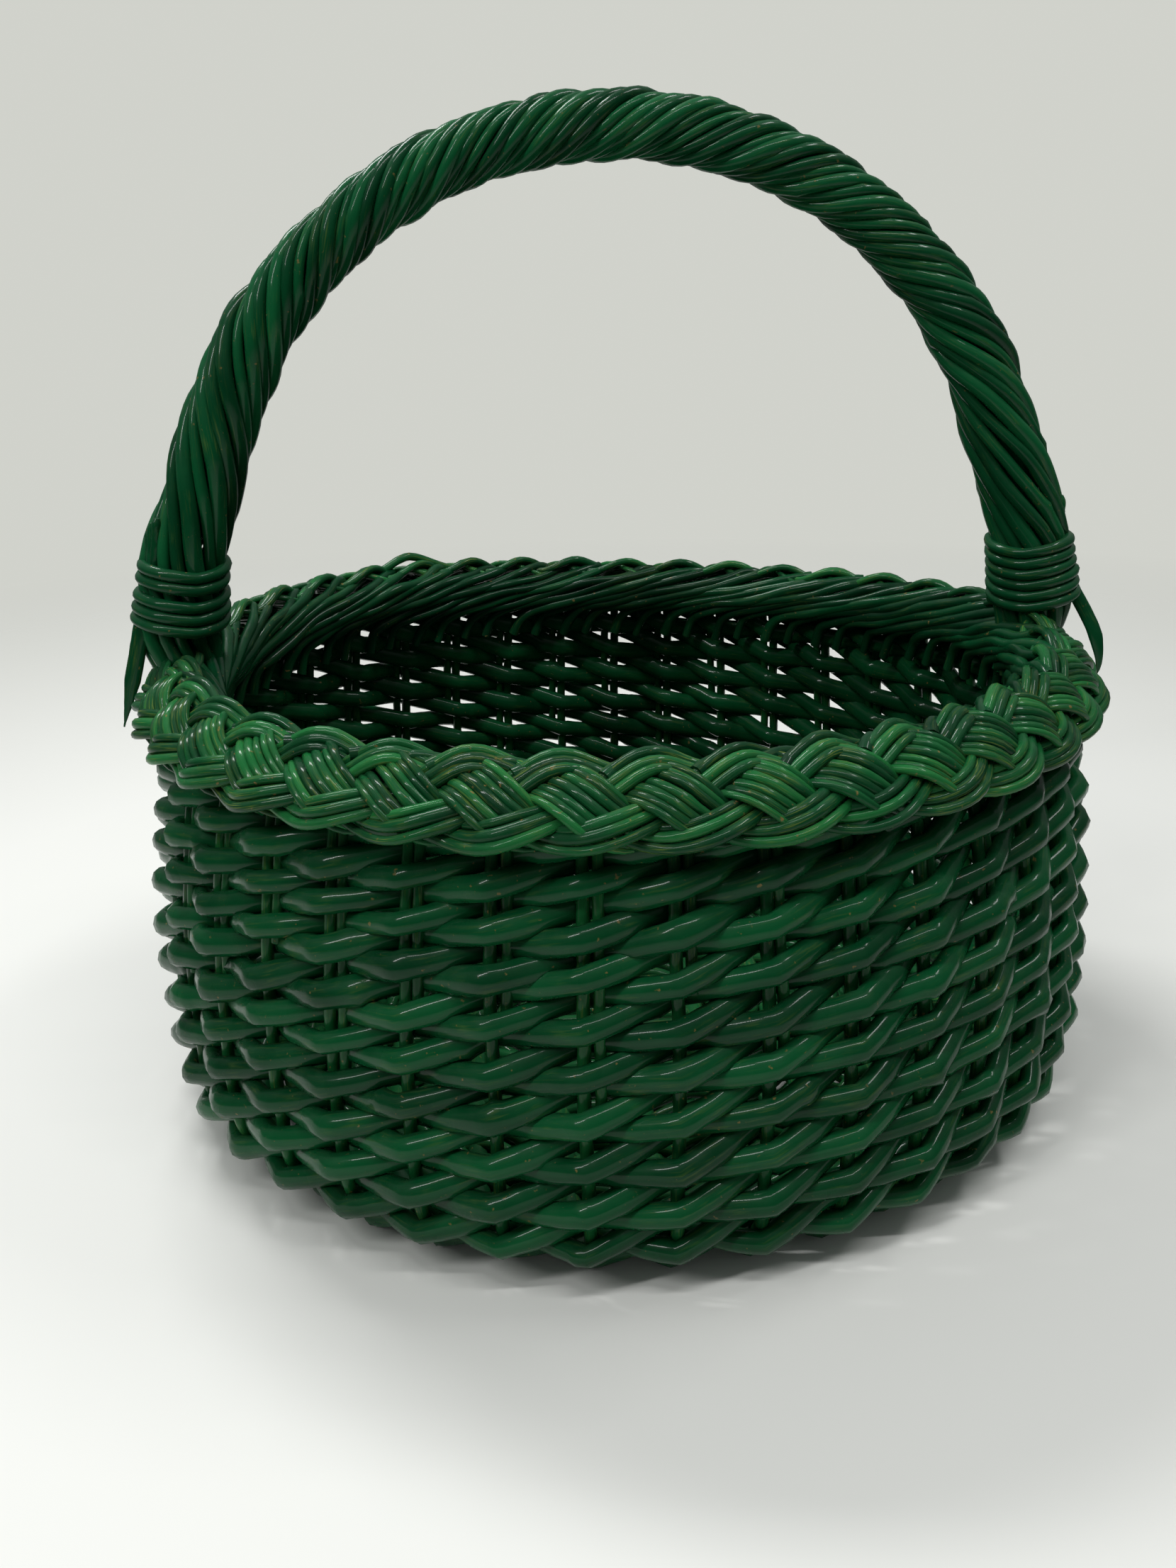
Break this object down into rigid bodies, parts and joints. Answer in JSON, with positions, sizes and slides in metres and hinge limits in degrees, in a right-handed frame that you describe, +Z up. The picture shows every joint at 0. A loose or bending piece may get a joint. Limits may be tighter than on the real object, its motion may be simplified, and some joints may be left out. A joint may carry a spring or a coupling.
{
  "type": "easter basket",
  "caption": "Oval woven willow basket, painted green, with a plaited border and a fixed roped bow handle over its long axis.",
  "frame": {"origin": "on the floor, under the middle of the basket", "axes": "+Z up, X along the long axis and the handle's plane, Y across the basket"},
  "size_m": [0.4027, 0.3522, 0.3963],
  "materials": {
    "weave": "willow under glossy dark green paint",
    "stakes": "willow under glossy green paint",
    "border": "willow under glossy green paint, with lighter streaks",
    "handle": "willow under glossy dark green paint, worn by hands",
    "base": "willow under satin dark green paint"
  },
  "bodies": {
    "root": {"base_weave": "base", "side_weave": "weave", "bye_stakes": "stakes", "plait_border": "border", "handle_bow": "handle", "handle_roping": "handle", "binding_left": "handle", "binding_right": "handle", "tail_left": "handle", "tail_right": "handle", "long_base_stick_1": "base", "long_base_stick_2": "base", "long_base_stick_3": "base", "cross_base_stick_1": "base", "cross_base_stick_2": "base", "cross_base_stick_3": "base", "cross_base_stick_4": "base", "cross_base_stick_5": "base", "cross_base_stick_6": "base", "cross_base_stick_7": "base", "stake_01": "stakes", "stake_02": "stakes", "stake_03": "stakes", "stake_04": "stakes", "stake_05": "stakes", "stake_06": "stakes", "stake_07": "stakes", "stake_08": "stakes", "stake_09": "stakes", "stake_10": "stakes", "stake_11": "stakes", "stake_12": "stakes", "stake_13": "stakes", "stake_14": "stakes", "stake_15": "stakes", "stake_16": "stakes", "stake_17": "stakes", "stake_18": "stakes", "stake_19": "stakes", "stake_20": "stakes", "stake_21": "stakes", "stake_22": "stakes", "stake_23": "stakes", "stake_24": "stakes", "stake_25": "stakes", "stake_26": "stakes", "stake_27": "stakes", "stake_28": "stakes", "stake_29": "stakes", "stake_30": "stakes", "stake_31": "stakes", "stake_32": "stakes", "stake_33": "stakes", "stake_34": "stakes", "stake_35": "stakes", "stake_36": "stakes", "stake_37": "stakes"}
  },
  "joints": []
}
